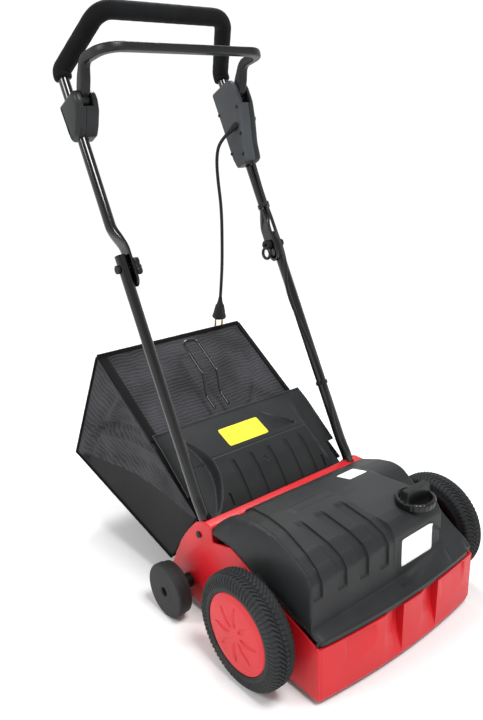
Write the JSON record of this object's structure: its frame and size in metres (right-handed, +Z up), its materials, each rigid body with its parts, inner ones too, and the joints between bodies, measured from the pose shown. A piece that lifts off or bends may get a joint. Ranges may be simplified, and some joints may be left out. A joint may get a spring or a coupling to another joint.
{
  "type": "lawn dethatcher",
  "caption": "Electric lawn dethatcher: red deck with black cover, two large front wheels, rear rollers, tine drum, rear flap, catcher bag and folding handle with bail and mains lead.",
  "frame": {"origin": "on the ground, at the middle of the machine's width and length", "axes": "+Z up, +Y backwards towards the user, +X towards the side of the depth knob and the switch box, which is the right-hand side for someone who faces the machine's front. Left and right in the node names are as that person sees them."},
  "size_m": [0.537, 0.784, 1.08],
  "materials": {
    "red_plastic": "moulded, satin gloss",
    "hub_red": "moulded, satin gloss",
    "black_plastic": "fine moulded texture",
    "grey_plastic": "fine moulded texture",
    "rim_plastic": "moulded",
    "tyre_rubber": "moulded tread",
    "belt_rubber": "ribbed belt",
    "cable_rubber": "smooth jacket",
    "foam": "closed-cell foam",
    "tube_paint": "black powder coat",
    "bag_cloth": "woven polyester",
    "black_wire": "black coated wire",
    "yellow_label": "printed film, blank",
    "white_label": "printed film, blank",
    "motor_iron": "painted",
    "steel": "zinc plated",
    "pulley_alloy": "turned",
    "pin_brass": "plated"
  },
  "bodies": {
    "chassis": {"red_deck": "red_plastic", "motor_cover": "black_plastic", "blank_labels": "white_label", "motor_housing": "motor_iron", "motor_brackets": "steel", "drive_belt": "belt_rubber", "drum_bearings": "steel", "roller_bolts": "steel", "flap_hinge_rod": "steel", "lower_tube_left": "tube_paint", "lower_tube_right": "tube_paint", "deck_screws": "steel", "fold_bolts": "steel", "power_cable_lower": "cable_rubber", "cable_gland": "black_plastic", "cable_clip_lower": "black_plastic"},
    "motor_rotor": {"motor_armature": "motor_iron", "motor_fan": "rim_plastic", "motor_pulley": "pulley_alloy"},
    "tine_drum": {"drum_shaft": "steel", "drum_pulley": "pulley_alloy", "spring_tines": "steel", "drum_spacers": "pulley_alloy"},
    "axle_carrier": {"front_axle": "steel", "lift_yoke": "steel", "axle_clips": "steel"},
    "front_wheel_left": {"front_tyre_left": "tyre_rubber", "front_rim_left": "rim_plastic", "hub_cap_left": "hub_red"},
    "front_wheel_right": {"front_tyre_right": "tyre_rubber", "front_rim_right": "rim_plastic", "hub_cap_right": "hub_red"},
    "rear_roller_left": {"rear_roller_left": "grey_plastic"},
    "rear_roller_right": {"rear_roller_right": "grey_plastic"},
    "depth_knob": {"depth_knob": "black_plastic", "knob_spindle": "steel"},
    "rear_flap": {"rear_flap": "black_plastic", "flap_label": "yellow_label"},
    "catcher": {"catcher_bag": "bag_cloth", "bag_frame": "black_wire", "bag_carry_handle": "black_wire"},
    "upper_handle": {"upper_tube": "tube_paint", "foam_grip": "foam", "switch_box_inner": "grey_plastic", "switch_box_outer": "black_plastic", "pivot_box_inner": "black_plastic", "pivot_box_outer": "black_plastic", "bail_pins": "steel", "switch_unit": "rim_plastic", "switch_box_screws": "steel", "power_cable_upper": "cable_rubber", "cable_clip_upper": "black_plastic", "mains_strain_relief": "black_plastic", "mains_cord": "cable_rubber", "mains_plug": "black_plastic", "plug_pins": "pin_brass"},
    "bail": {"bail_lever": "black_plastic"},
    "lock_button": {"lock_button": "black_plastic"},
    "wing_nut_left": {"wing_nut_left": "black_plastic"},
    "ring_nut_right": {"ring_nut_right": "black_plastic"}
  },
  "joints": [
    {"name": "drum_spin", "type": "hinge", "parent": "chassis", "child": "tine_drum", "pos_m": [0, -0.132, 0.075], "axis": [1, 0, 0], "continuous": true},
    {"name": "motor_spin", "type": "hinge", "parent": "chassis", "child": "motor_rotor", "pos_m": [0, -0.27, 0.178], "axis": [1, 0, 0], "continuous": true},
    {"name": "height_slide", "type": "slide", "parent": "chassis", "child": "axle_carrier", "axis": [0, 0, 1], "range_m": [0, 0.012]},
    {"name": "front_wheel_left_spin", "type": "hinge", "parent": "axle_carrier", "child": "front_wheel_left", "pos_m": [-0.24, -0.26, 0.1], "axis": [1, 0, 0], "continuous": true},
    {"name": "front_wheel_right_spin", "type": "hinge", "parent": "axle_carrier", "child": "front_wheel_right", "pos_m": [0.24, -0.26, 0.1], "axis": [1, 0, 0], "continuous": true},
    {"name": "rear_roller_left_spin", "type": "hinge", "parent": "chassis", "child": "rear_roller_left", "pos_m": [-0.24, -0.038, 0.0525], "axis": [1, 0, 0], "continuous": true},
    {"name": "rear_roller_right_spin", "type": "hinge", "parent": "chassis", "child": "rear_roller_right", "pos_m": [0.24, -0.038, 0.0525], "axis": [1, 0, 0], "continuous": true},
    {"name": "depth_turn", "type": "hinge", "parent": "chassis", "child": "depth_knob", "pos_m": [0.08, -0.332, 0.236], "axis": [0, 0, 1], "range_deg": [0, 270]},
    {"name": "flap_lift", "type": "hinge", "parent": "chassis", "child": "rear_flap", "pos_m": [0, -0.08, 0.186], "axis": [1, 0, 0], "range_deg": [0, 8]},
    {"name": "bag_lift_off", "type": "slide", "parent": "chassis", "child": "catcher", "axis": [0, 0.8243, 0.5661], "range_m": [0, 0.15]},
    {"name": "handle_fold", "type": "hinge", "parent": "chassis", "child": "upper_handle", "pos_m": [0, 0.14239, 0.61737], "axis": [1, 0, 0], "range_deg": [0, 140]},
    {"name": "bail_pull", "type": "hinge", "parent": "upper_handle", "child": "bail", "pos_m": [0, 0.25284, 0.90902], "axis": [1, 0, 0], "range_deg": [-33, 0], "stiffness_Nm_per_rad": 1.2, "springref_deg": 28.65},
    {"name": "lock_press", "type": "slide", "parent": "upper_handle", "child": "lock_button", "axis": [-1, 0, 0], "range_m": [0, 0.005], "stiffness_N_per_m": 250, "springref_m": -0.002},
    {"name": "wing_nut_left_turn", "type": "hinge", "parent": "chassis", "child": "wing_nut_left", "pos_m": [-0.165, 0.14239, 0.61737], "axis": [1, 0, 0], "continuous": true},
    {"name": "ring_nut_right_turn", "type": "hinge", "parent": "chassis", "child": "ring_nut_right", "pos_m": [0.165, 0.14239, 0.61737], "axis": [1, 0, 0], "continuous": true}
  ],
  "couplings": [
    {"joint": "motor_spin", "follows": "drum_spin", "ratio": 2.6667},
    {"joint": "depth_turn", "follows": "height_slide", "rad_per_m": 392.7}
  ]
}
